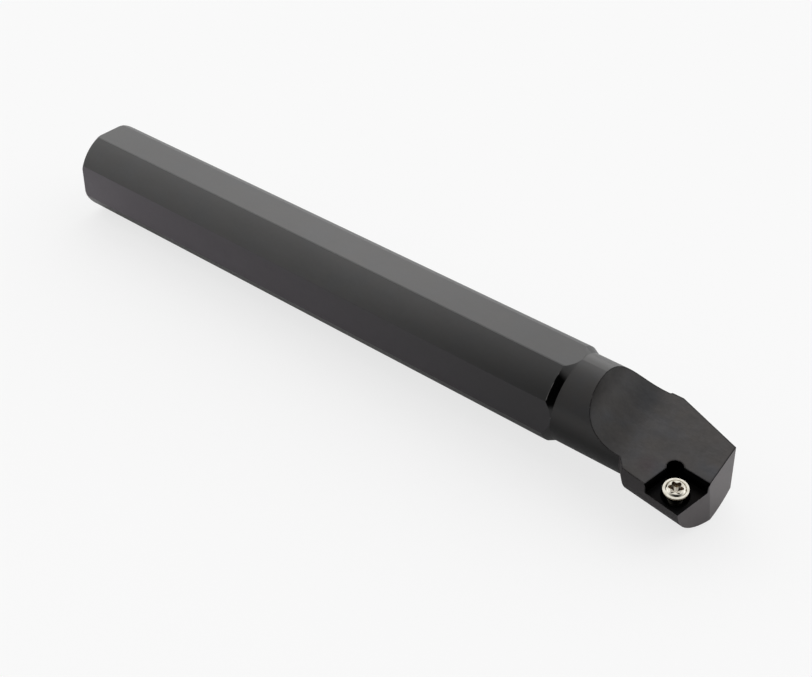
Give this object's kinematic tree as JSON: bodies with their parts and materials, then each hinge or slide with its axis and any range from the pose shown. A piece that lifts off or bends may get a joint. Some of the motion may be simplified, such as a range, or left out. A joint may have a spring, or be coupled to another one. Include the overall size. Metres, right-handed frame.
{
  "type": "boring bar",
  "caption": "Round steel boring bar with flats, a turned neck and a milled head whose pocket takes an indexable insert held by a clamp screw.",
  "frame": {"origin": "on the bar's axis, in the rear end face", "axes": "+X along the bar's axis from the rear end to the head, -Y towards the cutting side and the insert, +Z out of the top flat"},
  "size_m": [0.2022, 0.0291, 0.0261],
  "materials": {
    "blackened_steel": "satin",
    "screw_steel": "satin"
  },
  "bodies": {
    "bar": {"bar": "blackened_steel"},
    "insert_screw": {"insert_screw": "screw_steel"}
  },
  "joints": [
    {"name": "screw_turn", "type": "hinge", "parent": "bar", "child": "insert_screw", "pos_m": [0.19643, -0.01119, -0.00282], "axis": [0, -0.2079, 0.9781], "range_deg": [-1200, 3600]}
  ]
}
